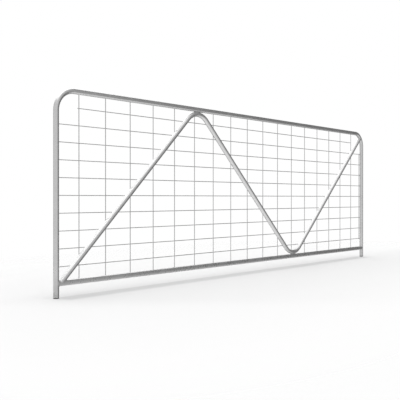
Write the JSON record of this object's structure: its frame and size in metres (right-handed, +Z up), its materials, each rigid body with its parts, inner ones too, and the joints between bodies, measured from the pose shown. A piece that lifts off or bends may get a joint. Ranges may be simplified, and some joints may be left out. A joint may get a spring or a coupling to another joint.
{
  "type": "livestock panel gate",
  "caption": "Long, low tubular steel livestock gate leaf with rounded top corners, a zigzag bent-tube brace, welded wire mesh behind it and two short legs.",
  "frame": {"origin": "centre of the left leg's foot face, on the ground; the left leg is the one where the brace starts at the bottom, seen from the tube side", "axes": "+X along the leaf from the left leg to the right leg, +Y from the tube side (front) to the mesh side (back), +Z up. The tube axes lie in the plane y = 0."},
  "size_m": [3.58, 0.0446, 1.177],
  "materials": {
    "galvanised_tube": "satin zinc coating over welded steel tube, light grey with faint cloudiness",
    "galvanised_wire": "drawn and galvanised wire, light grey, slightly duller than the tube",
    "weld_metal": "rippled weld bead sprayed with zinc paint, matt",
    "plug_plastic": "black moulded polyethylene, slightly scuffed"
  },
  "bodies": {
    "root": {"bottom_rail": "galvanised_tube", "foot_plug_left": "plug_plastic", "foot_plug_right": "plug_plastic", "frame_tube": "galvanised_tube", "mesh_line_01": "galvanised_wire", "mesh_line_02": "galvanised_wire", "mesh_line_03": "galvanised_wire", "mesh_line_04": "galvanised_wire", "mesh_line_05": "galvanised_wire", "mesh_line_06": "galvanised_wire", "mesh_line_07": "galvanised_wire", "mesh_line_08": "galvanised_wire", "mesh_line_09": "galvanised_wire", "mesh_line_10": "galvanised_wire", "mesh_tacks_bottom": "weld_metal", "mesh_tacks_left": "weld_metal", "mesh_tacks_right": "weld_metal", "mesh_tacks_top": "weld_metal", "mesh_upright_01": "galvanised_wire", "mesh_upright_02": "galvanised_wire", "mesh_upright_03": "galvanised_wire", "mesh_upright_04": "galvanised_wire", "mesh_upright_05": "galvanised_wire", "mesh_upright_06": "galvanised_wire", "mesh_upright_07": "galvanised_wire", "mesh_upright_08": "galvanised_wire", "mesh_upright_09": "galvanised_wire", "mesh_upright_10": "galvanised_wire", "mesh_upright_11": "galvanised_wire", "mesh_upright_12": "galvanised_wire", "mesh_upright_13": "galvanised_wire", "mesh_upright_14": "galvanised_wire", "mesh_upright_15": "galvanised_wire", "mesh_upright_16": "galvanised_wire", "mesh_upright_17": "galvanised_wire", "mesh_upright_18": "galvanised_wire", "mesh_upright_19": "galvanised_wire", "weld_brace_foot": "weld_metal", "weld_brace_head": "weld_metal", "weld_brace_peak": "weld_metal", "weld_brace_trough": "weld_metal", "weld_rail_left": "weld_metal", "weld_rail_right": "weld_metal", "zigzag_brace": "galvanised_tube"}
  },
  "joints": []
}
